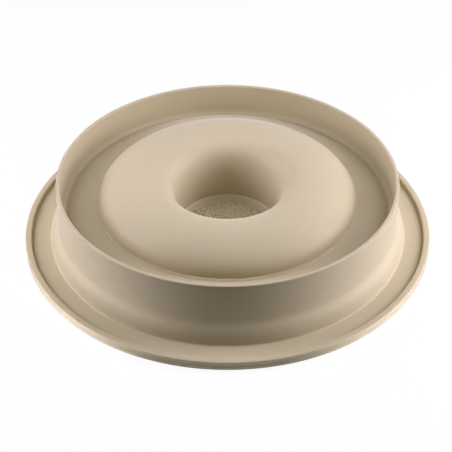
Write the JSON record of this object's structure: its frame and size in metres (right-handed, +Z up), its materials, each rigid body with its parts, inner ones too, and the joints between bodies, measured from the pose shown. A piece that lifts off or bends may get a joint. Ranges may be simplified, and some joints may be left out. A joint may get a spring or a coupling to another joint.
{
  "type": "silicone ring cake mould",
  "caption": "Round silicone ring-cake mould, open side down: beaded flange with a stiffening hoop, rounded shoulder, upright foot skirt, domed ring and central well.",
  "frame": {"origin": "on the ring's axis, at the level of the flange's flat underside, which the mould rests on", "axes": "+Z up along the ring's axis, from the open side towards the lip of the foot skirt; X and Y are free, since the mould is round"},
  "size_m": [0.234, 0.234, 0.0388],
  "materials": {
    "silicone": "satin moulded silicone, beige",
    "hoop_steel": "drawn stainless wire"
  },
  "bodies": {
    "root": {"mould_body": "silicone", "rim_hoop": "hoop_steel"}
  },
  "joints": []
}
